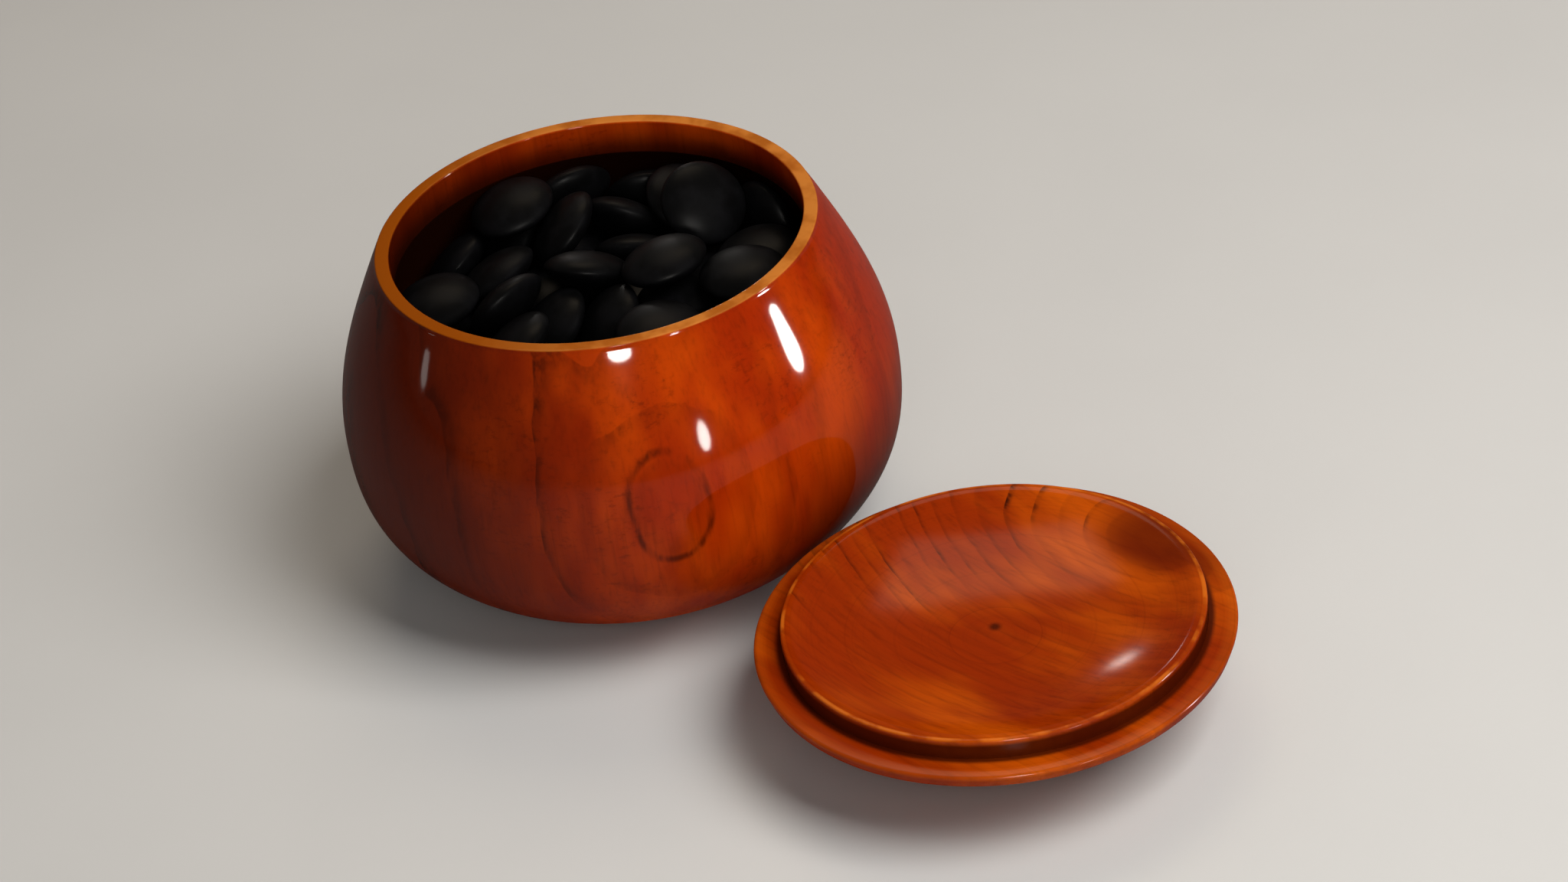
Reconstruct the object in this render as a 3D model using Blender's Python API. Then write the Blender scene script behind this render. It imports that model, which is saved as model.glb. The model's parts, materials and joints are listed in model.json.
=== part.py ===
# Go stone bowl: a turned wooden bowl full of black stones, with its lid lying
# upside down on the table beside it. Metres, +Z up. The origin is the centre of
# the bowl's flat base, and +X points from the bowl to the lid.

from math import cos, pi, radians, sin, sqrt

import bmesh
import bpy
import numpy as np
from mathutils import Matrix, Vector

for old in list(bpy.data.objects):
    bpy.data.objects.remove(old, do_unlink=True)

# Bowl
bowl_height = 0.0900
belly_radius = 0.0700
belly_height = 0.0430          # where the bowl is widest
base_radius = 0.0380           # flat underside
lower_fullness = 2.8           # exponent of the curve from belly to base
shoulder_sweep = radians(103)  # how far the shoulder's cosine curve is followed
mouth_radius = 0.0511
rim_width = 0.0036
rim_rounding = 0.0005
mouth_depth = 0.0085           # straight bore under the rim, for the lid's spigot
belly_wall = 0.0085
floor_thickness = 0.0090
floor_radius = 0.0300          # flat floor of the cavity
base_chamfer = 0.0006

# Lid
dome_height = 0.0210           # from the lid's flat top to its flange
dome_sweep = radians(75)
lid_top_radius = 0.0130        # flat on the dome's top, which it rests on here
flange_thickness = 0.0030
flange_rounding = 0.0008
flange_overhang = 0.0022       # past the bowl's rim
spigot_height = 0.0050
spigot_clearance = 0.0010      # all round, inside the mouth
spigot_rounding = 0.0006
spigot_width = 0.0022
dish_depth = 0.0085            # below the spigot's edge
dish_fullness = 2.6            # exponent of the dish's curve
lid_spacing = 0.0012           # between the lying lid and the bowl

# Stones
stone_radius = 0.0110
stone_thickness = 0.0092
depth_unit = stone_radius / 11 # what depths under the rim are counted in
stone_gap = 0.00035            # between any two stones, and to the bowl
headroom = 0.0003              # from the stones up to the lid, were it on the bowl
bed_depth = 32.5               # under the rim, of the closed mass that stands for the deepest stones
bed_gap = 0.0007               # between that mass and the wall
lower_stones = 18              # separate stones between that mass and the shown ones
lower_level = 0.0065           # their middles start this far over it
lower_tilt = radians(20)       # the most that one of them leans to begin with
lower_turn = radians(137.5)    # round the axis, from each to the next

# Fineness of the meshes
flat_width = 0.0092            # of the flats round the bowl's belly
wall_step = 0.0066             # the most between two levels of the cavity's wall
wall_flatness = 0.0001         # the most that its flats stand in from the shoulder's curve
outer_levels = 15
dome_levels = 9
dish_levels = 8
stone_segments = 12
stone_rings = 6

# The stones that show: how far out from the axis, as a share of the mouth's radius,
# the bearing of the place, how deep the stone's middle is under the rim, its tilt,
# and the bearing its upper face leans to. Depths are in depth units, and bearings in
# degrees from +X, counterclockwise seen from above. Each ends up near its place.
shown_stones = [
    (1.00, 143, 22, 30, 140),
    (0.98, 126, 22, 30, 155),
    (0.96, 85, 20, 25, 260),
    (0.98, 186, 22, 25, 195),
    (0.80, 169, 14, 9, 270),
    (0.81, 94, 14, 60, 345),
    (0.80, 65, 21, 15, 235),
    (0.76, 113, 20, 50, 50),
    (0.70, 132, 21, 28, 165),
    (0.60, 155, 18, 53, 230),
    (0.65, 195, 21, 24, 220),
    (0.79, 223, 16, 14, 40),
    (0.57, 121, 24, 5, 0),
    (0.65, 37, 17, 8, 235),
    (0.32, 46, 14, 7, 355),
    (0.15, 172, 16, 8, 240),
    (0.45, 231, 19, 13, 200),
    (0.41, 39, 23, 20, 200),
    (0.51, 347, 14, 4, 320),
    (0.11, 305, 23, 6, 230),
    (0.27, 231, 23, 48, 230),
    (0.47, 256, 22, 8, 270),
]

# Easing the stones apart: sweeps, drop in each sweep, and pull back to the place
easing_stages = [
    (400, 0.0001, 0.08),
    (200, 0.00005, 0.03),
    (150, 0.00002, 0.0),
    (150, 0.0, 0.0),
]
easing_rate = 0.6
turning_ease = 4 / stone_radius ** 2   # how readily a stone turns when it is pushed
mixing = np.linspace(0.1, 0.9, 9)      # steps at which two stones are tested for overlap
feeler_rings = 7                       # points that feel for the wall, from pole to pole
feelers_around = 12

half_axes = np.array([stone_radius, stone_radius, stone_thickness / 2])
padded_axes = half_axes + stone_gap / 2
up = np.array([0.0, 0.0, 1.0])

rim_radius = mouth_radius + rim_width
spigot_radius = mouth_radius - spigot_clearance
dish_radius = spigot_radius - spigot_width
flange_radius = rim_radius + flange_overhang
flange_level = dome_height + flange_thickness
spigot_level = flange_level + spigot_height
bed_level = bowl_height - bed_depth * depth_unit
turned_segments = 4 * round(pi * belly_radius / (2 * flat_width))

# Levels of the cavity's wall, from the mouth down, close enough for the shoulder's curve
cavity_belly = belly_radius - belly_wall
mouth_floor = bowl_height - mouth_depth
shoulder_bend = (abs(cavity_belly - mouth_radius) * shoulder_sweep ** 2
                 / ((1 - cos(shoulder_sweep)) * (mouth_floor - belly_height) ** 2))
wall_steps = round((mouth_floor - floor_thickness)
                   / min(wall_step, sqrt(8 * wall_flatness / shoulder_bend)))
wall_levels = np.linspace(mouth_floor, floor_thickness, wall_steps + 1)


def cosine_share(share, sweep):
    """How far a cosine curve has bent at a share of its length, 0 to 1."""
    return (1 - np.cos(sweep * share)) / (1 - cos(sweep))


def bellied(z, low, high, low_radius, widest, high_radius):
    """Radius at height z of a curve that is widest at the belly."""
    above = np.clip((z - belly_height) / (high - belly_height), 0, 1)
    below = np.clip((belly_height - z) / (belly_height - low), 0, 1)
    upper = widest - (widest - high_radius) * cosine_share(above, shoulder_sweep)
    return upper - (widest - low_radius) * below ** lower_fullness


def outer_radius(z):
    """Outside of the bowl at height z."""
    return bellied(z, 0, bowl_height, base_radius, belly_radius, rim_radius)


def cavity_radius(z):
    """Inside of the bowl at height z, with a straight mouth on top."""
    return bellied(z, floor_thickness, mouth_floor, floor_radius, cavity_belly, mouth_radius)


def wall_radius(z):
    """Inside of the bowl at height z, along the flats between its wall's levels."""
    rising = wall_levels[::-1]
    return float(np.interp(z, rising, cavity_radius(rising)))


def lid_over(r):
    """Level of the lid's underside at radius r, were the lid on the bowl."""
    share = np.clip(r / dish_radius, 0, 1)
    return bowl_height - spigot_height + dish_depth * (1 - share ** dish_fullness)


def rounded_corner(corner_r, corner_z, radius, start, steps=2):
    """Points of a quarter round, from bearing start, a quarter turn counterclockwise."""
    toward = radians(start + 45)
    centre_r = corner_r - radius * sqrt(2) * cos(toward)
    centre_z = corner_z - radius * sqrt(2) * sin(toward)
    turns = [radians(start + 90 * k / steps) for k in range(steps + 1)]
    return [(centre_r + radius * cos(t), centre_z + radius * sin(t)) for t in turns]


def bowl_outline():
    """Half section of the bowl, from the middle of its base round to its floor."""
    outer = np.linspace(base_chamfer, bowl_height - rim_rounding, outer_levels + 1)[:-1]
    points = [(0, 0), (base_radius - base_chamfer, 0)]
    points += [(float(outer_radius(z)), z) for z in outer]
    points += rounded_corner(rim_radius, bowl_height, rim_rounding, 0)
    points += rounded_corner(mouth_radius, bowl_height, rim_rounding, 90)
    points += [(wall_radius(z), z) for z in wall_levels]
    return points + [(0, floor_thickness)]


def lid_outline():
    """Half section of the lid, lying on its dome, from the dome's middle to the dish's."""
    dome_reach = flange_radius - flange_rounding - lid_top_radius
    points = [(0, 0)]
    points += [(lid_top_radius + dome_reach * share, dome_height * float(cosine_share(share, dome_sweep)))
               for share in np.linspace(0, 1, dome_levels + 1)]
    points += rounded_corner(flange_radius, flange_level, flange_rounding, 0)
    points.append((spigot_radius, flange_level))
    points += rounded_corner(spigot_radius, spigot_level, spigot_rounding, 0)
    return points + [(dish_radius * share, spigot_level - dish_depth * (1 - share ** dish_fullness))
                     for share in np.linspace(1, 0, dish_levels + 1)]


def bed_outline():
    """Half section of the buried stones' mass, a gap inside the cavity."""
    low = floor_thickness + stone_gap
    levels = [low] + [z for z in wall_levels[::-1] if low + stone_gap < z < bed_level - stone_gap]
    sides = [(wall_radius(z) - bed_gap, z) for z in levels + [bed_level]]
    return [(0, low)] + sides + [(0, bed_level)]


def new_object(name, bm, finish):
    """Turn a bmesh into a smooth-shaded object with its own material."""
    bmesh.ops.recalc_face_normals(bm, faces=bm.faces)
    mesh = bpy.data.meshes.new(name)
    bm.to_mesh(mesh)
    bm.free()
    mesh.shade_smooth()
    mesh.set_sharp_from_angle(angle=radians(35))
    piece = bpy.data.objects.new(name, mesh)
    bpy.context.collection.objects.link(piece)
    material = bpy.data.materials.new(name)
    material.use_nodes = True
    shader = material.node_tree.nodes["Principled BSDF"]
    shader.inputs["Base Color"].default_value = (*finish["color"], 1)
    shader.inputs["Roughness"].default_value = finish["roughness"]
    shader.inputs["Metallic"].default_value = 0
    mesh.materials.append(material)
    return piece


def turned(name, outline, finish):
    """Spin a half section, given as (radius, height) points, about the Z axis."""
    bm = bmesh.new()
    corners = [bm.verts.new((r, 0, z)) for r, z in outline]
    edges = [bm.edges.new(pair) for pair in zip(corners, corners[1:])]
    bmesh.ops.spin(bm, geom=corners + edges, cent=(0, 0, 0), axis=(0, 0, 1),
                   angle=2 * pi, steps=turned_segments, use_merge=True)
    bmesh.ops.remove_doubles(bm, verts=bm.verts, dist=1e-7)
    return new_object(name, bm, finish)


# Laying the stones. Each is an ellipsoid. They start at their places, where some
# overlap, and are eased apart, turning as they go, until all are clear of each
# other, of the wall, of what is under them and of the lid, with the gap between.

def sphere_points():
    """Points spread over a unit sphere, to feel for the wall with."""
    points = [(0, 0, 1), (0, 0, -1)]
    for i in range(1, feeler_rings):
        polar = pi * i / feeler_rings
        for k in range(feelers_around):
            turn = 2 * pi * k / feelers_around
            points.append((sin(polar) * cos(turn), sin(polar) * sin(turn), cos(polar)))
    return np.array(points)


feelers = sphere_points() * padded_axes


def turns_about(vectors):
    """Rotation matrices for rotation vectors, one for each row."""
    angles = np.linalg.norm(vectors, axis=1)
    x, y, z = (vectors / np.maximum(angles, 1e-12)[:, None]).T
    zero = np.zeros_like(x)
    cross = np.array([[zero, -z, y], [z, zero, -x], [-y, x, zero]]).transpose(2, 0, 1)
    sines, rest = np.sin(angles)[:, None, None], (1 - np.cos(angles))[:, None, None]
    return np.eye(3) + sines * cross + rest * (cross @ cross)


def starting_places():
    """Centres and rotations of the shown stones, then of a spiral of lower ones."""
    rng = np.random.default_rng(5)
    rows = [(share * mouth_radius, radians(bearing), bowl_height - depth * depth_unit,
             radians(tilt), radians(lean)) for share, bearing, depth, tilt, lean in shown_stones]
    reach = cavity_belly - stone_radius
    for k in range(lower_stones):
        distance = reach * sqrt((k + 0.5) / lower_stones)
        rows.append((distance, k * lower_turn, bed_level + lower_level,
                     lower_tilt * rng.uniform(), rng.uniform(0, 2 * pi)))
    distances, bearings, levels, tilts, leans = np.array(rows).T
    centres = np.stack((distances * np.cos(bearings), distances * np.sin(bearings), levels), axis=1)
    axes = np.stack((-np.sin(leans), np.cos(leans), np.zeros_like(leans)), axis=1)
    return centres, turns_about(axes * tilts[:, None])


def overlapping_pairs(centres, shapes):
    """Pairs of ellipsoids that overlap: indices, push direction, distance, arms."""
    first, second = np.triu_indices(len(centres), 1)
    offsets = centres[second] - centres[first]
    near = np.linalg.norm(offsets, axis=1) < 2 * padded_axes[0]
    first, second, offsets = first[near], second[near], offsets[near]
    share = mixing[None, :, None, None]
    blended = (1 - share) * shapes[first][:, None] + share * shapes[second][:, None]
    columns = np.repeat(offsets[:, None, :, None], len(mixing), axis=1)
    solved = np.linalg.solve(blended, columns)[..., 0]
    contact = mixing * (1 - mixing) * np.einsum("psk,pk->ps", solved, offsets)
    best = contact.argmax(axis=1)
    rows = np.arange(len(first))
    depth = 1 - contact[rows, best]
    hit = depth > 0
    best, rows = best[hit], rows[hit]
    first, second, offsets, depth = first[hit], second[hit], offsets[hit], depth[hit]
    chosen = mixing[best][:, None]
    slope = 2 * chosen * (1 - chosen) * solved[rows, best]
    steepness = np.linalg.norm(slope, axis=1)
    arm = (1 - chosen) * np.einsum("pij,pj->pi", shapes[first], solved[rows, best])
    return first, second, slope / steepness[:, None], depth / steepness, arm, arm - offsets


def pressed(arms, ways, depths):
    """Shift and twist of stones that are pushed this deep at the ends of their arms."""
    levers = np.cross(arms, ways)
    push = (depths / (1 + turning_ease * (levers ** 2).sum(axis=1)))[:, None]
    return push * ways, push * turning_ease * levers


def ease_apart(centres, rotations, sweeps, drop, pull):
    """Move overlapping stones apart a little at a time, letting them sink as they do."""
    shown = len(shown_stones)
    placed, placed_turns = starting_places()
    for _ in range(sweeps):
        centres = centres - drop * up
        centres[:shown] += pull * (placed[:shown] - centres[:shown])
        tip = np.cross(rotations[:shown, :, 2], placed_turns[:shown, :, 2])
        rotations[:shown] = turns_about(pull * tip) @ rotations[:shown]
        shapes = rotations @ np.diag(padded_axes ** 2) @ rotations.transpose(0, 2, 1)
        shift, twist = np.zeros_like(centres), np.zeros_like(centres)

        first, second, way, distance, arm_a, arm_b = overlapping_pairs(centres, shapes)
        lever_a, lever_b = np.cross(arm_a, way), np.cross(arm_b, way)
        give = 2 + turning_ease * ((lever_a ** 2).sum(axis=1) + (lever_b ** 2).sum(axis=1))
        push = (distance / give)[:, None]
        np.add.at(shift, first, -push * way)
        np.add.at(shift, second, push * way)
        np.add.at(twist, first, -push * turning_ease * lever_a)
        np.add.at(twist, second, push * turning_ease * lever_b)

        reach = shapes[:, :, 2] / np.sqrt(shapes[:, 2, 2])[:, None]
        sunk = bed_level + stone_gap / 2 - (centres - reach)[:, 2]

        arms = feelers @ rotations.transpose(0, 2, 1)
        points = centres[:, None] + arms
        radii = np.hypot(points[..., 0], points[..., 1])
        past = radii - cavity_radius(points[..., 2]) + stone_gap
        risen = points[..., 2] - lid_over(radii) + headroom
        rows, widest, highest = np.arange(len(centres)), past.argmax(axis=1), risen.argmax(axis=1)
        inward = -points[rows, widest] * (1, 1, 0) / radii[rows, widest][:, None]

        for arm, ways, depths in ((-reach, up, sunk),
                                  (arms[rows, highest], -up, risen[rows, highest]),
                                  (arms[rows, widest], inward, past[rows, widest])):
            moved, turned_by = pressed(arm, ways, np.maximum(depths, 0))
            shift += moved
            twist += turned_by

        centres = centres + easing_rate * shift
        rotations = turns_about(easing_rate * twist) @ rotations
    return centres, rotations


def lay_stones():
    """Final centre and rotation of every separate stone, the shown ones first."""
    centres, rotations = starting_places()
    for stage in easing_stages:
        centres, rotations = ease_apart(centres, rotations, *stage)
    return list(zip(centres, rotations))


def stone_mesh():
    """One stone lying flat, with its middle on the origin."""
    bm = bmesh.new()
    bmesh.ops.create_uvsphere(bm, u_segments=stone_segments, v_segments=stone_rings, radius=1)
    bmesh.ops.scale(bm, vec=half_axes, verts=bm.verts)
    return bm


lacquered_wood = {"color": (0.42, 0.10, 0.02), "roughness": 0.25}
black_stone = {"color": (0.02, 0.02, 0.022), "roughness": 0.5}

turned("bowl", bowl_outline(), lacquered_wood)

lid = turned("lid", lid_outline(), lacquered_wood)
widths = [r + float(outer_radius(z)) for r, z in lid_outline()]
lid.location.x = max(widths) + lid_spacing

turned("stone_bed", bed_outline(), black_stone)

for number, (centre, rotation) in enumerate(lay_stones(), start=1):
    kind = "top_stone" if number <= len(shown_stones) else "lower_stone"
    stone = new_object(f"{kind}_{number:02d}", stone_mesh(), black_stone)
    stone.location = Vector(centre)
    stone.rotation_euler = Matrix(rotation.tolist()).to_euler()
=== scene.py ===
# Finishes for the go stone bowl: lacquered wood, matte black stones, and a plain studio.
import json
from math import cos, pi, radians, sin, sqrt

import bmesh
import bpy
import numpy as np
from mathutils import Matrix, Vector

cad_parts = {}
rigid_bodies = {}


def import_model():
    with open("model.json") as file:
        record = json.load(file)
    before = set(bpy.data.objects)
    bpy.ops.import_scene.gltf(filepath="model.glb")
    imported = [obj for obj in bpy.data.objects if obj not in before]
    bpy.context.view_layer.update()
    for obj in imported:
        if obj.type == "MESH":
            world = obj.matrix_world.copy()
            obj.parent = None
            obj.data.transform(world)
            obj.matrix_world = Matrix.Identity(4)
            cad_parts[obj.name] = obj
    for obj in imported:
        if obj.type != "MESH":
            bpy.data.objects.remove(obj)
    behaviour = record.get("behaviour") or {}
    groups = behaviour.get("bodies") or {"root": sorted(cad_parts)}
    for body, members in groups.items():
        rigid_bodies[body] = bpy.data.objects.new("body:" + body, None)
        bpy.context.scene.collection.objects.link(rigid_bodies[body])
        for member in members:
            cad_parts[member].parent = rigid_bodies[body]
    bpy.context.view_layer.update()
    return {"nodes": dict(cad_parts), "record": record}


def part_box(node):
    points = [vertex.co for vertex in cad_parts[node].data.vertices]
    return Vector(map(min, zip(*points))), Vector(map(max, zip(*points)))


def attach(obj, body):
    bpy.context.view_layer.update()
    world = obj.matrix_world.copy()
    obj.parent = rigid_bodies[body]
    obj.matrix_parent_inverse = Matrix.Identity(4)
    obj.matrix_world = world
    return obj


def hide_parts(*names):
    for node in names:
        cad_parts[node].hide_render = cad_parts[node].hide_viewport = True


for old in list(bpy.data.objects):
    bpy.data.objects.remove(old, do_unlink=True)

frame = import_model()


# Shapes, in metres. Outlines are half sections, as pairs of radius and height.

hairline = 0.00001          # keeps the fine surfaces inside the frame's box


def cosineShare(share, sweep):
    # 0 to 1 along part of a cosine wave
    return (1 - cos(sweep * share)) / (1 - cos(sweep))


def roundedCorner(r, z, radius, start, steps=6):
    # quarter round inside the corner at r and z, from the bearing start to a quarter turn on
    toward = radians(start + 45)
    centreR = r - radius * sqrt(2) * cos(toward)
    centreZ = z - radius * sqrt(2) * sin(toward)
    turns = [radians(start + 90 * k / steps) for k in range(steps + 1)]
    return [(centreR + radius * cos(t), centreZ + radius * sin(t)) for t in turns]


def evenly(low, high, count):
    return [low + (high - low) * k / count for k in range(count + 1)]


bowlShape = {
    "height": 0.0900,
    "bellyRadius": 0.0700,
    "bellyHeight": 0.0430,
    "baseRadius": 0.0380,
    "lowerFullness": 2.8,       # 2 is a parabola's bulge, more is fuller
    "shoulderSweep": radians(103),
    "mouthRadius": 0.0511,
    "rimWidth": 0.0036,
    "rimRounding": 0.0005,
    "rimTuck": 0.0002,          # how far the top of the shoulder rolls in, over tuckDepth
    "tuckDepth": 0.0050,
    "mouthDepth": 0.0085,       # of the straight seat that the lid's spigot drops into
    "bellyWall": 0.0085,
    "floorThickness": 0.0090,
    "floorRadius": 0.0300,
    "baseChamfer": 0.0006,
    "baseRings": (0.002, 12),   # innermost radius, and how many across the base
    "floorRings": (0.025, 6),   # outermost radius, and how many across the floor
    "outsideSteps": 120,
    "insideSteps": 60,
    "segments": 256,
}


def bellied(z, low, high, lowRadius, widest, highRadius):
    belly = bowlShape["bellyHeight"]
    above = min(max((z - belly) / (high - belly), 0), 1)
    below = min(max((belly - z) / (belly - low), 0), 1)
    upper = widest - (widest - highRadius) * cosineShare(above, bowlShape["shoulderSweep"])
    return upper - (widest - lowRadius) * below ** bowlShape["lowerFullness"]


def outerRadius(z):
    shape = bowlShape
    rim = shape["mouthRadius"] + shape["rimWidth"]
    tucked = max(z - shape["height"] + shape["tuckDepth"], 0) / shape["tuckDepth"]
    full = bellied(z, 0, shape["height"], shape["baseRadius"], shape["bellyRadius"], rim)
    return full - shape["rimTuck"] * tucked ** 2 - hairline


def cavityRadius(z):
    shape = bowlShape
    return bellied(z, shape["floorThickness"], shape["height"] - shape["mouthDepth"],
                   shape["floorRadius"], shape["bellyRadius"] - shape["bellyWall"],
                   shape["mouthRadius"])


def bowlOutline():
    shape = bowlShape
    height, rounding, chamfer = shape["height"], shape["rimRounding"], shape["baseChamfer"]
    top, floor = height - rounding, shape["floorThickness"]
    innermost, baseRings = shape["baseRings"]
    outermost, floorRings = shape["floorRings"]
    points = [(0, 0)]
    points += [(r, 0) for r in evenly(innermost, shape["baseRadius"] - chamfer, baseRings)]
    points += [(outerRadius(z), z) for z in evenly(chamfer, top, shape["outsideSteps"])[:-1]]
    points += roundedCorner(outerRadius(top), height, rounding, 0)
    points += roundedCorner(shape["mouthRadius"], height, rounding, 90)
    points += [(cavityRadius(z), z)
               for z in evenly(height - shape["mouthDepth"], floor, shape["insideSteps"])]
    return points + [(r, floor) for r in evenly(outermost, 0, floorRings)]


lidShape = {
    "domeHeight": 0.0210,
    "domeSweep": radians(75),
    "topRadius": 0.0130,        # of the flat on the dome
    "flangeRadius": 0.0569,
    "flangeLevel": 0.0240,
    "flangeRounding": 0.0008,
    "spigotRadius": 0.0501,
    "spigotLevel": 0.0290,
    "spigotRounding": 0.0006,
    "spigotWidth": 0.0022,      # of the ring between the spigot's side and the dish
    "dishDepth": 0.0085,
    "dishFullness": 2.6,
    "domeSteps": 40,
    "dishSteps": 48,
    "segments": 256,
}


def lidOutline():
    shape = lidShape
    reach = shape["flangeRadius"] - shape["flangeRounding"] - shape["topRadius"]
    points = [(0, 0)]
    for s in evenly(0, 1, shape["domeSteps"]):
        rise = shape["domeHeight"] * cosineShare(s, shape["domeSweep"])
        points.append((shape["topRadius"] + reach * s, rise))
    points += roundedCorner(shape["flangeRadius"] - hairline, shape["flangeLevel"],
                            shape["flangeRounding"], 0)
    points.append((shape["spigotRadius"], shape["flangeLevel"]))
    points += roundedCorner(shape["spigotRadius"], shape["spigotLevel"],
                            shape["spigotRounding"], 0)
    dishRadius = shape["spigotRadius"] - shape["spigotWidth"]
    for s in evenly(1, 0, shape["dishSteps"]):
        drop = shape["dishDepth"] * (1 - s ** shape["dishFullness"])
        points.append((dishRadius * s, shape["spigotLevel"] - drop))
    return points


meshing = {
    "creaseAngle": radians(50),     # edges sharper than this stay crisp
    "weldDistance": 1e-7,
}


def newPiece(name, bm, finish):
    bmesh.ops.recalc_face_normals(bm, faces=bm.faces)
    mesh = bpy.data.meshes.new(name)
    bm.to_mesh(mesh)
    bm.free()
    mesh.shade_smooth()
    mesh.set_sharp_from_angle(angle=meshing["creaseAngle"])
    mesh.materials.append(finish)
    piece = bpy.data.objects.new(name, mesh)
    bpy.context.scene.collection.objects.link(piece)
    return piece


def turnedPiece(name, outline, segments, finish):
    # spins a half section about the Z axis
    bm = bmesh.new()
    corners = [bm.verts.new((r, 0, z)) for r, z in outline]
    edges = [bm.edges.new(pair) for pair in zip(corners, corners[1:])]
    bmesh.ops.spin(bm, geom=corners + edges, cent=(0, 0, 0), axis=(0, 0, 1),
                   angle=2 * pi, steps=segments, use_merge=True)
    bmesh.ops.remove_doubles(bm, verts=bm.verts, dist=meshing["weldDistance"])
    return newPiece(name, bm, finish)


stoneShape = {
    "radius": 0.0110,
    "halfThickness": 0.0046,
    "crown": 0.58,              # 0.5 is an ellipsoid, 1 a sharp-edged lens
    "segments": 48,
    "rings": 28,
}


def addStone(bm, place, segments, rings):
    # one stone: a lens with a rounded edge, put where the matrix place says
    radius, half, crown = stoneShape["radius"], stoneShape["halfThickness"], stoneShape["crown"]
    made = bmesh.ops.create_uvsphere(bm, u_segments=segments, v_segments=rings, radius=1)
    for vert in made["verts"]:
        height = abs(vert.co.z)
        flat = max(1 - height * height, 0) ** 0.5
        swell = max(1 - flat * flat, 0) ** crown
        side = 1 if vert.co.z > 0 else -1
        vert.co = place @ Vector((vert.co.x * radius, vert.co.y * radius, side * swell * half))


# Materials

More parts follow.
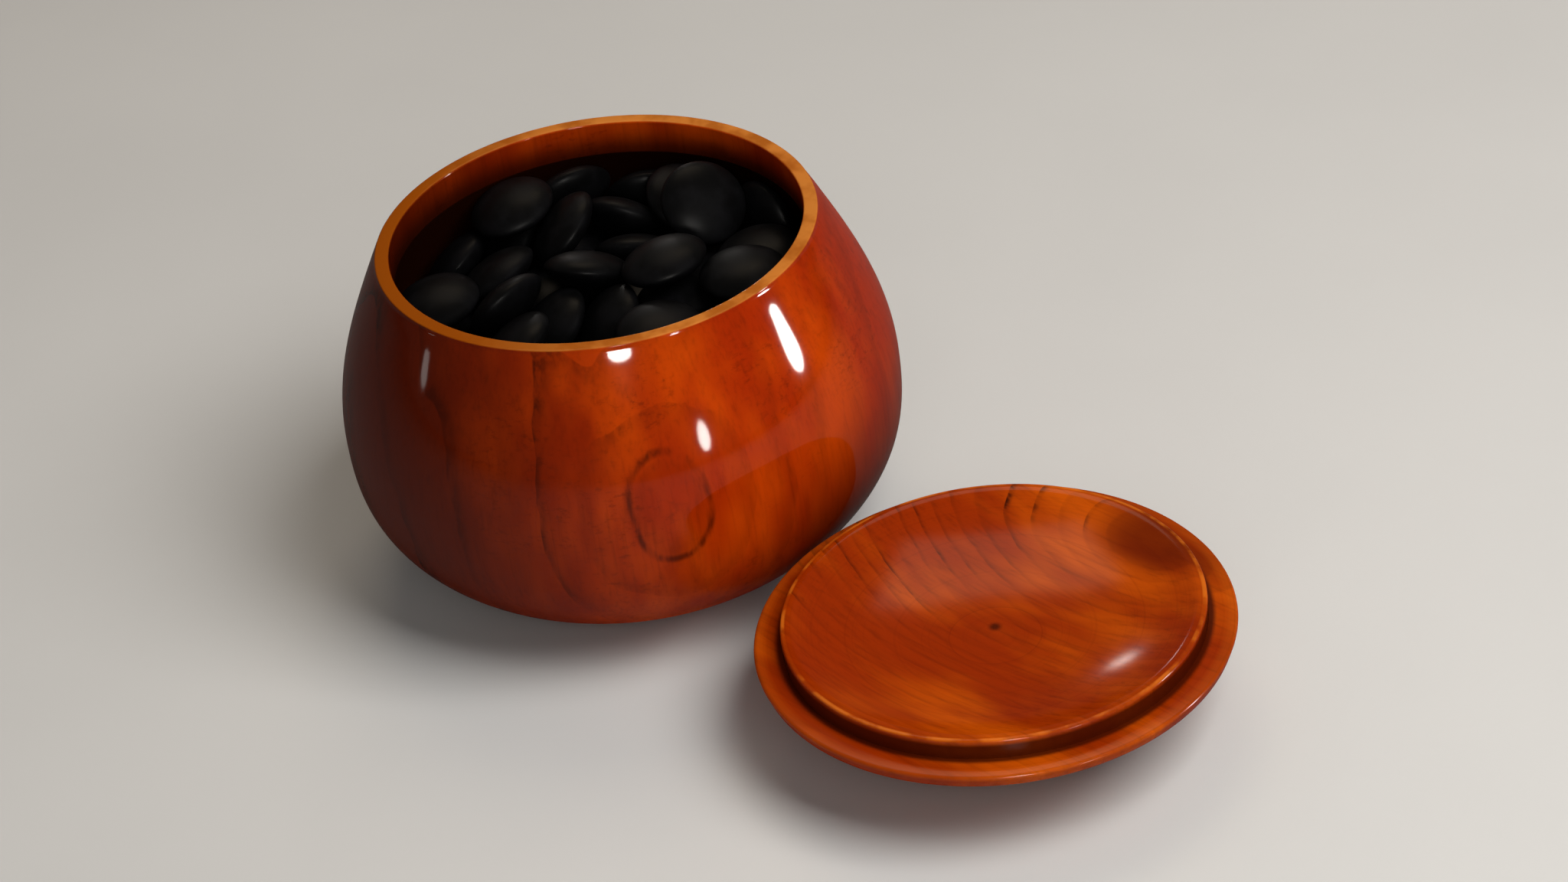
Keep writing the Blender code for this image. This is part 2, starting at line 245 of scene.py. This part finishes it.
class Wiring:
    # short calls that add shader nodes and link them

    sockets = {"colour": "Base Color", "rough": "Roughness", "specular": "Specular IOR Level",
               "normal": "Normal", "coat": "Coat Weight", "coatRough": "Coat Roughness",
               "coatIor": "Coat IOR"}

    def __init__(self, name):
        self.material = bpy.data.materials.new(name)
        self.material.use_nodes = True
        self.tree = self.material.node_tree
        self.shader = self.tree.nodes["Principled BSDF"]

    def feed(self, socket, value):
        if isinstance(value, bpy.types.NodeSocket):
            self.tree.links.new(value, socket)
        elif value is not None:
            socket.default_value = value

    def math(self, operation, first, second=None, third=None):
        node = self.tree.nodes.new("ShaderNodeMath")
        node.operation = operation
        for socket, value in zip(node.inputs, (first, second, third)):
            self.feed(socket, value)
        return node.outputs[0]

    def times(self, first, *others):
        for other in others:
            first = self.math("MULTIPLY", first, other)
        return first

    def apart(self, first, second):
        return self.math("ABSOLUTE", self.math("SUBTRACT", first, second))

    def distance(self, *sides):
        total = None
        for side in sides:
            square = self.times(side, side)
            total = square if total is None else self.math("ADD", total, square)
        return self.math("SQRT", total)

    def blend(self, share, first, second):
        node = self.tree.nodes.new("ShaderNodeMix")
        node.data_type = "RGBA"
        self.feed(node.inputs[0], share)
        self.feed(node.inputs[6], first)
        self.feed(node.inputs[7], second)
        return node.outputs[2]

    def between(self, value, span, atLow=0.0, atHigh=1.0):
        # smooth step from atLow at the span's first number to atHigh at its second
        node = self.tree.nodes.new("ShaderNodeMapRange")
        node.interpolation_type = "SMOOTHSTEP"
        self.feed(node.inputs["Value"], value)
        for socket, number in zip(("From Min", "From Max", "To Min", "To Max"),
                                  (*span, atLow, atHigh)):
            self.feed(node.inputs[socket], number)
        return node.outputs[0]

    def places(self, move=(0, 0, 0), turn=(0, 0, 0), stretch=(1, 1, 1), vector=None):
        if vector is None:
            vector = self.tree.nodes.new("ShaderNodeTexCoord").outputs["Object"]
        node = self.tree.nodes.new("ShaderNodeMapping")
        self.feed(node.inputs["Vector"], vector)
        self.feed(node.inputs["Location"], move)
        self.feed(node.inputs["Rotation"], turn)
        self.feed(node.inputs["Scale"], stretch)
        return node.outputs[0]

    def noise(self, vector, scale, detail=2.0, roughness=0.5, colour=False):
        node = self.tree.nodes.new("ShaderNodeTexNoise")
        self.feed(node.inputs["Vector"], vector)
        self.feed(node.inputs["Scale"], scale)
        self.feed(node.inputs["Detail"], detail)
        self.feed(node.inputs["Roughness"], roughness)
        return node.outputs[1 if colour else 0]

    def patches(self, vector, look, roughness=0.6):
        # a noise cut between two of its levels, as (scale, detail, span, at low, at high)
        scale, detail, span, atLow, atHigh = look
        return self.between(self.noise(vector, scale, detail, roughness), span, atLow, atHigh)

    def nudged(self, vector, scale, amount):
        # pushes the coordinates about by a slow noise
        wander = self.noise(vector, scale, 1.0, 0.5, colour=True)
        centred = self.tree.nodes.new("ShaderNodeVectorMath")
        centred.operation = "SUBTRACT"
        self.feed(centred.inputs[0], wander)
        self.feed(centred.inputs[1], (0.5, 0.5, 0.5))
        scaled = self.tree.nodes.new("ShaderNodeVectorMath")
        scaled.operation = "MULTIPLY_ADD"
        self.feed(scaled.inputs[0], centred.outputs[0])
        self.feed(scaled.inputs[1], (amount, amount, amount))
        self.feed(scaled.inputs[2], vector)
        return scaled.outputs[0]

    def chance(self, value):
        node = self.tree.nodes.new("ShaderNodeTexWhiteNoise")
        node.noise_dimensions = "1D"
        self.feed(node.inputs["W"], value)
        return node.outputs[0]

    def join(self, x, y, z=0.0):
        node = self.tree.nodes.new("ShaderNodeCombineXYZ")
        for socket, value in zip(node.inputs, (x, y, z)):
            self.feed(socket, value)
        return node.outputs[0]

    def split(self, vector):
        node = self.tree.nodes.new("ShaderNodeSeparateXYZ")
        self.feed(node.inputs[0], vector)
        return node.outputs[0], node.outputs[1], node.outputs[2]

    def bump(self, height, strength, depth, normal=None):
        node = self.tree.nodes.new("ShaderNodeBump")
        self.feed(node.inputs["Height"], height)
        self.feed(node.inputs["Strength"], strength)
        self.feed(node.inputs["Distance"], depth)
        self.feed(node.inputs["Normal"], normal)
        return node.outputs[0]

    def shade(self, **values):
        for key, value in values.items():
            self.feed(self.shader.inputs[self.sockets[key]], value)
        return self.material


# What both woods share. Noise entries read: scale, detail, span of its levels, share at
# the low end, share at the high end.
grainLook = {
    "rippleScale": 150.0,
    "drift": (26.0, 1.6),               # noise scale, and how many rings it shifts them by
    "bandFade": (0.80, 1.0),            # shares of one ring's width, as the next two are
    "lineRise": (0.72, 0.96),
    "lineDrop": (0.965, 1.0),
    "boldness": (0.60, 0.08),           # spread and least of the lines' own strengths
    "patchy": (55.0, 2.0, (0.38, 0.62), 0.1, 1.0),
    "broken": (420.0, 2.0, (0.35, 0.60), 0.35, 1.0),
    "bandShare": 0.22,
    "fibreScale": 900.0,
    "fibreSpan": (0.45, 0.78),
    "fibreBump": (0.10, 0.00012),       # strength and depth
}


def ringColours(wire, look, radius, grain):
    # soft bands and thin late-wood lines from a ring radius in metres
    driftScale, driftRings = grainLook["drift"]
    slow = wire.noise(grain, driftScale)
    steady = wire.math("DIVIDE", radius, look["ringSpacing"])
    count = wire.math("ADD", wire.math("MULTIPLY_ADD", slow, driftRings, steady),
                      look["ringShift"])
    phase = wire.math("FRACT", count)
    fading = wire.between(phase, grainLook["bandFade"], 1.0, 0.0)
    band = wire.times(wire.math("POWER", phase, 2.0), fading)
    rise = wire.between(phase, grainLook["lineRise"])
    drop = wire.between(phase, grainLook["lineDrop"], 1.0, 0.0)
    own = wire.chance(wire.math("FLOOR", count))
    patchy = wire.patches(grain, grainLook["patchy"], 0.5)
    broken = wire.patches(grain, grainLook["broken"])
    bold = wire.times(wire.math("MULTIPLY_ADD", own, *grainLook["boldness"]),
                      wire.times(patchy, broken))
    return band, wire.times(rise, drop, bold), broken


bowlWood = {
    "knotBearing": radians(-33),        # where the swirl looks out of the belly
    "knotHeight": 0.052,
    "tallness": (1.37, 3.4),            # of the rings: near the knot, and over it far to its sides
    "tallnessSpan": (0.010, 0.034),     # how far to the side that change takes place
    "ringSpacing": 0.0098,
    "ringShift": 0.05,
    "wanderScale": 28.0,
    "wander": 0.007,                    # how far the slow noise pushes the rings about
    "ripple": 0.0014,                   # how far the quick one does
    "grainStretch": 0.28,               # less than 1 draws the pattern out along the height
    "lineFocus": -0.045,                # along the belly from the knot, where lines are plainest
    "lineSpan": (0.015, 0.045),
    "lineShares": (1.5, 0.3),
    "lineLimit": 0.85,
    "oval": 0.0098,                     # half width of the dark ring round the swirl
    "ovalSpan": (0.0001, 0.0013),
    "ovalShare": 0.72,
    "ovalGaps": (90.0, 2.0, (0.36, 0.54), 0.1, 1.0),
    "ovalFront": (0.0, 0.02),           # keeps the ring off the far side
    "pale": (0.49, 0.053, 0.0008, 1),
    "red": (0.29, 0.0175, 0.0003, 1),
    # painted shade colour for the right flank
    "deep": (0.24, 0.0140, 0.0003, 1),
    "brown": (0.062, 0.0052, 0.0003, 1),
    "line": (0.020, 0.0022, 0.0003, 1),
    "redSpan": (-0.060, 0.018),         # along the belly: brown before it, red after it
    "clouds": (34.0, 3.0, (0.42, 0.72), 0.0, 1.0),
    "cloudStretch": 0.4,
    # along the belly, where painted shade darkens the right flank, and how much
    "deepSpan": (0.018, 0.055),
    "deepShare": 0.30,
    "lidShadowSpan": (0.010, 0.045),        # along the belly, where painted shadow of the lid turns the lower part brown
    "lidShadowLevels": (0.022, 0.060),
    "lidShadowShare": 0.95,
    "flames": (170.0, 3.0, (0.52, 0.80), 0.0, 0.30),
    "flameLean": 0.5,
    "flameStretch": 0.3,
    "specks": (330.0, 4.0, (0.50, 0.72), 0.0, 1.0),
    "speckStretch": 2.2,
    "speckAreas": (38.0, 2.0, (0.40, 0.62), 0.05, 0.45),
    "fibreStretch": 0.05,
    "fibreShare": 0.22,
    "rim": (0.50, 0.175, 0.028, 1),
    "rimDark": (0.25, 0.056, 0.0010, 1),
    "rimLevels": (0.0897, 0.08998),
    "rimShare": 0.9,
    "wearSpan": (-0.045, 0.010),        # along the belly: dark before it, worn pale after it
    "wearPatches": (90.0, 3.0, (0.38, 0.60), 0.35, 1.0),
    # painted shade colour for the inside of the wall
    "inside": (0.012, 0.0022, 0.0006, 1),
    "wallLevels": (0.040, 0.090),       # two heights, and the radius halfway through the wall there
    "wallMiddle": (0.0655, 0.0529),
    "wallSpan": 0.001,
    # heights of the painted shade inside: where it ends, up the seat, at the top and at the foot
    "innerShadeLevels": (0.0808, 0.0820),    # full below, gone above
    "seatLevels": (0.0815, 0.0890),
    "seatShares": (0.85, 0.25),
    "innerShadeTop": (0.0893, 0.0896),
    "innerShadeFoot": (0.0420, 0.0460),
    "rough": 0.40,
    "coat": 0.12,
    "coatRough": 0.06,
    "coatIor": 1.8,
}


def insideShade(wire, look, x, y, z):
    # painted shade inside the wall, lighter up the lid's seat, and none on the rim or the outside
    middle = wire.between(z, look["wallLevels"], *look["wallMiddle"])
    past = wire.math("SUBTRACT", wire.distance(x, y), middle)
    within = wire.between(past, (-look["wallSpan"], look["wallSpan"]), 1.0, 0.0)
    full = wire.between(z, look["innerShadeLevels"], 1.0, 0.0)
    seat = wire.between(z, look["seatLevels"], *look["seatShares"])
    return wire.times(within, wire.math("MAXIMUM", full, seat),
                      wire.between(z, look["innerShadeTop"], 1.0, 0.0),
                      wire.between(z, look["innerShadeFoot"]))


def bowlFinish():
    look = bowlWood
    wire = Wiring("bowlLacquer")
    x, y, z = wire.split(wire.places())
    # X out through the knot, Y along the belly, Z up from the knot
    knot = wire.places(move=(0, 0, -look["knotHeight"]))
    knot = wire.places(turn=(0, 0, -look["knotBearing"]), vector=knot)
    _, alongTrue, _ = wire.split(knot)
    knot = wire.nudged(knot, look["wanderScale"], look["wander"])
    knot = wire.nudged(knot, grainLook["rippleScale"], look["ripple"])
    out, along, up = wire.split(knot)

    # rings round the swirl, drawn out above it into the shoulder
    low, high = look["tallness"]
    far = wire.between(wire.math("ABSOLUTE", along), look["tallnessSpan"])
    tall = wire.math("MULTIPLY_ADD", far, high - low, low)
    under = wire.math("DIVIDE", wire.math("MINIMUM", up, 0.0), low)
    over = wire.math("DIVIDE", wire.math("MAXIMUM", up, 0.0), tall)
    grain = wire.places(stretch=(1, 1, look["grainStretch"]), vector=knot)
    fromSwirl = wire.distance(along, under, over)
    band, line, broken = ringColours(wire, look, fromSwirl, grain)
    plain = wire.between(wire.apart(alongTrue, look["lineFocus"]), look["lineSpan"],
                         *look["lineShares"])
    line = wire.math("MINIMUM", wire.times(line, plain), look["lineLimit"])
    # one dark broken ring round the swirl
    oval = wire.between(wire.apart(fromSwirl, look["oval"]), look["ovalSpan"],
                        look["ovalShare"], 0.0)
    oval = wire.times(oval, wire.times(wire.patches(grain, look["ovalGaps"]), broken),
                      wire.between(out, look["ovalFront"]))
    line = wire.math("MAXIMUM", line, oval)

    # redder to the right of the swirl, browner to its left, with pale and dark clouds
    side = wire.between(alongTrue, look["redSpan"])
    pale = wire.patches(wire.places(stretch=(1, 1, look["cloudStretch"])), look["clouds"])
    ground = wire.blend(side, look["brown"], look["red"])
    ground = wire.blend(wire.times(pale, side), ground, look["pale"])
    # painted shade: the right flank darkened where the key light falls strongest
    deep = wire.between(alongTrue, look["deepSpan"], 0.0, look["deepShare"])
    ground = wire.blend(deep, ground, look["deep"])
    # painted shadow of the lid on the lower right of the belly
    lidShadow = wire.times(wire.between(alongTrue, look["lidShadowSpan"]),
                        wire.between(z, look["lidShadowLevels"], look["lidShadowShare"], 0.0))
    ground = wire.blend(lidShadow, ground, look["brown"])
    leaning = wire.places(turn=(look["flameLean"], 0, 0), stretch=(1, 1, look["flameStretch"]))
    ground = wire.blend(wire.patches(leaning, look["flames"]), ground, look["brown"])
    ground = wire.blend(wire.times(band, grainLook["bandShare"]), ground, look["brown"])
    # fine dark mottling across the grain, then the fibres and the ring lines
    specks = wire.patches(wire.places(stretch=(1, 1, look["speckStretch"])), look["specks"], 0.7)
    specks = wire.times(specks, wire.patches(wire.places(), look["speckAreas"], 0.5))
    ground = wire.blend(specks, ground, look["brown"])
    fibre = wire.noise(wire.places(stretch=(1, 1, look["fibreStretch"])),
                       grainLook["fibreScale"], 3.0, 0.6)
    fibrous = wire.between(fibre, grainLook["fibreSpan"], 0.0, look["fibreShare"])
    ground = wire.blend(fibrous, ground, look["line"])
    ground = wire.blend(line, ground, look["line"])

    # paler worn rim, and painted shade inside the cavity
    wear = wire.times(wire.between(alongTrue, look["wearSpan"]),
                      wire.patches(wire.places(), look["wearPatches"]))
    worn = wire.blend(wear, look["rimDark"], look["rim"])
    ground = wire.blend(wire.between(z, look["rimLevels"], 0.0, look["rimShare"]), ground, worn)
    ground = wire.blend(insideShade(wire, look, x, y, z), ground, look["inside"])

    fine = wire.bump(fibre, *grainLook["fibreBump"])
    return wire.shade(colour=ground, rough=look["rough"], normal=fine, coat=look["coat"],
                      coatRough=look["coatRough"], coatIor=look["coatIor"], specular=0.0)


lidWood = {
    "knotPlace": (0.014, 0.044),        # from the lid's axis
    "length": 2.0,                      # of the rings, along X
    "ringSpacing": 0.0038,
    "ringShift": 0.2,
    "wanderScale": 30.0,
    "wander": 0.004,
    "ripple": 0.0010,
    "grainStretch": 0.35,               # less than 1 draws the pattern out along X
    "cloudStretch": 0.4,
    "clouds": (36.0, 3.0, (0.42, 0.74), 0.0, 1.0),
    "fibreStretch": 0.05,
    "fibreShare": 0.25,
    "lineSpan": (-0.01, 0.05),          # of Y less X, over which the lines grow plain
    "lineShares": (0.25, 1.7),
    "knotSpan": (0.004, 0.012),         # ring radii over which the dark knot fades
    "knotShare": 0.8,
    "pale": (0.46, 0.070, 0.0010, 1),
    "red": (0.24, 0.020, 0.0003, 1),
    "brown": (0.095, 0.0070, 0.0004, 1),
    "line": (0.022, 0.0028, 0.0005, 1),
    "circleScale": 1500.0,
    "circleRise": 0.2,                  # how much their pattern changes with height
    "circleSpan": (0.50, 0.80),
    "circleShare": 0.30,
    "circleBump": (0.08, 0.0001),
    "markPlace": (-0.0025, 0.0025),
    "markSpan": (0.0004, 0.0022),
    "markShare": 0.8,
    "edge": (0.62, 0.16, 0.012, 1),
    "edgeRadius": 0.0495,               # of the worn ring round the dish
    "edgeSpan": (0.0002, 0.0007),
    "edgeShare": 0.9,
    "edgeLevels": (0.0283, 0.0288),
    "edgePatches": (130.0, 3.0, (0.42, 0.62), 0.05, 0.60),
    # painted shade colour for the corner between spigot and flange
    "cornerShade": (0.040, 0.0045, 0.0008, 1),
    "cornerRadius": 0.0504,             # of the corner between spigot and flange
    "cornerSpan": (0.0004, 0.0018),
    "cornerShare": 0.9,
    "cornerFoot": (0.0236, 0.0239),
    "cornerTop": (0.0272, 0.0286),
    "flangeSpan": (0.0535, 0.0555),
    "flangeShare": 0.10,
    "flangeLevels": (0.0225, 0.0236),
    "rough": 0.42,
    "coat": 0.14,
    "coatRough": 0.14,
    "coatIor": 1.75,
}


def lidWearAndShade(wire, look, centred, fromAxis, z, ground):
    # pale worn edge round the dish, painted shade in the corner outside it, pale flange
    edge = wire.between(wire.apart(fromAxis, look["edgeRadius"]), look["edgeSpan"],
                        look["edgeShare"], 0.0)
    edge = wire.times(edge, wire.between(z, look["edgeLevels"]),
                      wire.patches(centred, look["edgePatches"], 0.5))
    ground = wire.blend(edge, ground, look["edge"])
    # painted shade in the corner between spigot and flange
    corner = wire.between(wire.apart(fromAxis, look["cornerRadius"]), look["cornerSpan"],
                          look["cornerShare"], 0.0)
    corner = wire.times(corner, wire.between(z, look["cornerFoot"]),
                        wire.between(z, look["cornerTop"], 1.0, 0.0))
    ground = wire.blend(corner, ground, look["cornerShade"])
    flange = wire.times(wire.between(fromAxis, look["flangeSpan"], 0.0, look["flangeShare"]),
                        wire.between(z, look["flangeLevels"]))
    return wire.blend(flange, ground, look["edge"])


def lidFinish(axis):
    look = lidWood
    wire = Wiring("lidLacquer")
    centred = wire.places(move=(-axis.x, -axis.y, 0))
    x, y, z = wire.split(centred)
    knotX, knotY = look["knotPlace"]
    knot = wire.places(move=(-knotX, -knotY, 0), vector=centred)
    knot = wire.nudged(knot, look["wanderScale"], look["wander"])
    knot = wire.nudged(knot, grainLook["rippleScale"], look["ripple"])
    alongX, alongY, _ = wire.split(knot)
    radius = wire.distance(wire.math("DIVIDE", alongX, look["length"]), alongY)
    grain = wire.places(stretch=(look["grainStretch"], 1, 1), vector=knot)
    band, line, _ = ringColours(wire, look, radius, grain)

    drawn = wire.places(stretch=(look["cloudStretch"], 1, 1), vector=centred)
    ground = wire.blend(wire.patches(drawn, look["clouds"]), look["red"], look["pale"])
    ground = wire.blend(wire.times(band, grainLook["bandShare"]), ground, look["brown"])
    fibre = wire.noise(wire.places(stretch=(look["fibreStretch"], 1, 1), vector=centred),
                       grainLook["fibreScale"], 3.0, 0.6)
    fibrous = wire.between(fibre, grainLook["fibreSpan"], 0.0, look["fibreShare"])
    ground = wire.blend(fibrous, ground, look["line"])
    # the lines are plainest towards -X and +Y
    toward = wire.between(wire.math("SUBTRACT", y, x), look["lineSpan"], *look["lineShares"])
    ground = wire.blend(wire.times(line, toward), ground, look["line"])
    ground = wire.blend(wire.between(radius, look["knotSpan"], look["knotShare"], 0.0),
                        ground, look["brown"])

    # fine circles left by the lathe, and the mark of its centre
    fromAxis = wire.distance(x, y)
    circles = wire.noise(wire.join(fromAxis, wire.times(z, look["circleRise"])),
                         look["circleScale"], 3.0, 0.7)
    ground = wire.blend(wire.between(circles, look["circleSpan"], 0.0, look["circleShare"]),
                        ground, look["brown"])
    markX, markY = look["markPlace"]
    mark = wire.distance(wire.math("SUBTRACT", x, markX), wire.math("SUBTRACT", y, markY))
    ground = wire.blend(wire.between(mark, look["markSpan"], look["markShare"], 0.0),
                        ground, look["line"])
    ground = lidWearAndShade(wire, look, centred, fromAxis, z, ground)

    fine = wire.bump(fibre, *grainLook["fibreBump"])
    fine = wire.bump(circles, *look["circleBump"], fine)
    return wire.shade(colour=ground, rough=look["rough"], normal=fine, coat=look["coat"],
                      coatRough=look["coatRough"], coatIor=look["coatIor"], specular=0.0)


stoneLook = {
    "dark": (0.0020, 0.0020, 0.0022, 1),
    "light": (0.0036, 0.0036, 0.0042, 1),
    "cloudScale": 160.0,
    "toneSpan": (0.35, 0.70),
    "roughSpan": (0.3, 0.7),
    "roughness": (0.38, 0.47),          # smoothest and roughest
    "gritScale": 2600.0,
    "gritBump": (0.10, 0.0001),
    "specular": 0.07,
}


def stoneFinish():
    wire = Wiring("blackSlate")
    plain = wire.places()
    cloud = wire.noise(plain, stoneLook["cloudScale"], 3.0)
    grit = wire.noise(plain, stoneLook["gritScale"])
    tone = wire.blend(wire.between(cloud, stoneLook["toneSpan"]),
                      stoneLook["dark"], stoneLook["light"])
    rough = wire.between(cloud, stoneLook["roughSpan"], *stoneLook["roughness"])
    fine = wire.bump(grit, *stoneLook["gritBump"])
    return wire.shade(colour=tone, rough=rough, normal=fine, specular=stoneLook["specular"])


# Bowl and lid

bowl = turnedPiece("turnedBowl", bowlOutline(), bowlShape["segments"], bowlFinish())
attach(bowl, "root")
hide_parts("bowl")
print("bowl turned")

lidLow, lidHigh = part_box("lid")
lidAxis = (lidLow + lidHigh) / 2
lid = turnedPiece("turnedLid", lidOutline(), lidShape["segments"], lidFinish(lidAxis))
lid.data.transform(Matrix.Translation((lidAxis.x, lidAxis.y, 0)))
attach(lid, "lid")
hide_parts("lid")
print("lid turned")


# Stones

blackSlate = stoneFinish()
bodyOf = {node: body for body, nodes in frame["record"]["behaviour"]["bodies"].items()
          for node in nodes}


def stonePlace(node):
    # where a solid stone lies: its middle, and its thin axis
    low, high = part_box(node)
    corners = np.array([vert.co for vert in frame["nodes"][node].data.vertices])
    middle = (low + high) / 2
    spread = np.cov((corners - np.array(middle)).T)
    thin = Vector(np.linalg.eigh(spread)[1][:, 0])
    if thin.z < 0:
        thin.negate()
    return Matrix.Translation(middle) @ thin.to_track_quat("Z", "Y").to_matrix().to_4x4()


stoneNodes = sorted(node for node in frame["nodes"] if "_stone_" in node)
for number, node in enumerate(stoneNodes, start=1):
    bm = bmesh.new()
    addStone(bm, stonePlace(node), stoneShape["segments"], stoneShape["rings"])
    stone = newPiece(f"slateStone{number:02d}", bm, blackSlate)
    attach(stone, bodyOf[node])
    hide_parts(node)
print(len(stoneNodes), "loose stones laid")


buriedShape = {
    "topLevel": 0.0526,         # middles of the uppermost buried layer
    "layerPitch": 0.0096,
    "layers": 5,
    "spacing": 0.0226,
    "reach": 4,                 # rows and columns each way from the middle
    "wallGap": 0.0006,
    "lowSide": 0.8,             # the level in a stone, in half thicknesses, that meets the wall
    "tilt": radians(5),
    "segments": 20,
    "rings": 10,
    "seed": 11,
}


def buriedPlaces():
    # flat layers under the loose stones, each a hexagonal lattice turned and shifted
    shape = buriedShape
    chance = np.random.default_rng(shape["seed"])
    lattice = range(-shape["reach"], shape["reach"] + 1)
    places = []
    for layer in range(shape["layers"]):
        level = shape["topLevel"] - shape["layerPitch"] * layer
        lowSide = level - shape["lowSide"] * stoneShape["halfThickness"]
        tight = min(cavityRadius(lowSide), cavityRadius(level))
        reach = tight - stoneShape["radius"] - shape["wallGap"]
        turn = chance.uniform(0, pi / 3)
        for row in lattice:
            for column in lattice:
                x = (column + row / 2) * shape["spacing"]
                y = row * sqrt(3) / 2 * shape["spacing"]
                if x * x + y * y > reach * reach:
                    continue
                lean = chance.uniform(0, 2 * pi)
                tilt = Matrix.Rotation(shape["tilt"] * chance.uniform(), 4,
                                       (cos(lean), sin(lean), 0))
                spot = Matrix.Rotation(turn, 4, "Z") @ Vector((x, y, level))
                places.append(Matrix.Translation(spot) @ tilt)
    return places


bm = bmesh.new()
buried = buriedPlaces()
for place in buried:
    addStone(bm, place, buriedShape["segments"], buriedShape["rings"])
bed = newPiece("buriedStones", bm, blackSlate)
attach(bed, "root")
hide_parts("stone_bed")
print(len(buried), "buried stones laid")


# Studio

floorLook = {
    "halfWidth": 8.0,
    "gap": 0.0002,              # under the bowl's foot
    "colour": (0.560, 0.566, 0.575),
    "darker": 0.93,
    "clouds": (9.0, 3.0, (0.3, 0.7), 0.0, 0.4),
    "rough": 0.9,
}


def addFloor():
    look = floorLook
    bm = bmesh.new()
    bmesh.ops.create_grid(bm, x_segments=1, y_segments=1, size=look["halfWidth"])
    wire = Wiring("paleTable")
    darker = tuple(look["darker"] * share for share in look["colour"])
    tone = wire.blend(wire.patches(wire.places(), look["clouds"], 0.5),
                      (*look["colour"], 1), (*darker, 1))
    floor = newPiece("floor", bm, wire.shade(colour=tone, rough=look["rough"], specular=0.0))
    floor.location.z = -look["gap"]


# shape, bearing from +X and height over the table in degrees, distance, width and height in
# metres, watts, colour, and whether it lights surfaces, glints in them, or both
lamps = {
    "softKey": ("RECTANGLE", 16, 52, 1.1, 0.7, 0.7, 13.5, "window", "glow"),
    "frontSoft": ("RECTANGLE", -40, 30, 1.4, 0.8, 0.5, 3.0, "window", "glow"),
    "backSoft": ("RECTANGLE", 135, 56, 1.7, 0.9, 0.7, 6.0, "amber", "both"),
    "backLow": ("ELLIPSE", 144, 17, 1.6, 0.08, 0.08, 0.8, "window", "gloss"),
    "lowFill": ("RECTANGLE", -65, 3.5, 3.4, 2.6, 0.31, 17.5, "window", "glow"),
    "rimSpark": ("ELLIPSE", -37.4, 22.8, 1.5, 0.28, 0.13, 13.0, "window", "gloss"),
    "tallPane": ("ELLIPSE", 40.8, 4.8, 1.5, 0.19, 0.20, 20.0, "window", "gloss"),
    "smallPane": ("ELLIPSE", -9.7, 4.8, 1.5, 0.12, 0.22, 6.0, "window", "gloss"),
    "leftPane": ("ELLIPSE", -132, 2.6, 1.5, 0.10, 0.06, 0.12, "window", "gloss"),
}
lampColours = {"window": (1.0, 0.965, 0.91), "amber": (1.0, 0.82, 0.60)}
lampAim = Vector((0.045, -0.015, 0.085))


def addLamp(name, shape, bearing, height, distance, width, tall, watts, colour, job):
    lamp = bpy.data.lights.new(name, "AREA")
    lamp.shape = shape
    lamp.size, lamp.size_y = width, tall
    lamp.energy = watts
    lamp.color = lampColours[colour]
    holder = bpy.data.objects.new(name, lamp)
    bpy.context.scene.collection.objects.link(holder)
    across, rise = radians(bearing), radians(height)
    away = Vector((cos(across) * cos(rise), sin(across) * cos(rise), sin(rise)))
    holder.location = lampAim + away * distance
    holder.rotation_euler = away.to_track_quat("Z", "Y").to_euler()
    holder.visible_camera = False
    holder.visible_glossy = job != "glow"
    holder.visible_diffuse = job != "gloss"


view = {
    "lens": 95.0,
    "nearest": 0.01,
    "place": (0.68635, -0.53826, 0.60640),
    "aim": (0.0363, 0.0193, 0.0300),
    "roll": radians(-8.08),
}


def addCamera():
    data = bpy.data.cameras.new("camera")
    data.lens = view["lens"]
    data.clip_start = view["nearest"]
    camera = bpy.data.objects.new("camera", data)
    bpy.context.scene.collection.objects.link(camera)
    camera.location = view["place"]
    sight = Vector(view["aim"]) - camera.location
    facing = sight.to_track_quat("-Z", "Y").to_matrix() @ Matrix.Rotation(view["roll"], 3, "Z")
    camera.rotation_euler = facing.to_euler()
    bpy.context.scene.camera = camera


roomLight = {
    "colour": (1.0, 0.94, 0.86, 1),
    "horizonStrength": 0.17,
    "skyStrength": 0.13,
    "horizonFade": 0.45,        # sine of the height where the horizon's light ends
}


def addWorld():
    world = bpy.data.worlds.new("paleRoom")
    bpy.context.scene.world = world
    world.use_nodes = True
    nodes, links = world.node_tree.nodes, world.node_tree.links
    background = nodes["Background"]
    background.inputs["Color"].default_value = roomLight["colour"]
    around = nodes.new("ShaderNodeTexCoord")
    split = nodes.new("ShaderNodeSeparateXYZ")
    fade = nodes.new("ShaderNodeMapRange")
    fade.interpolation_type = "SMOOTHSTEP"
    links.new(around.outputs["Generated"], split.inputs[0])
    links.new(split.outputs[2], fade.inputs["Value"])
    links.new(fade.outputs[0], background.inputs["Strength"])
    fade.inputs["From Min"].default_value = 0.0
    fade.inputs["From Max"].default_value = roomLight["horizonFade"]
    fade.inputs["To Min"].default_value = roomLight["horizonStrength"]
    fade.inputs["To Max"].default_value = roomLight["skyStrength"]


addFloor()
for name, values in lamps.items():
    addLamp(name, *values)
addCamera()
addWorld()
bpy.context.scene.view_settings.view_transform = "Standard"
print("studio set")
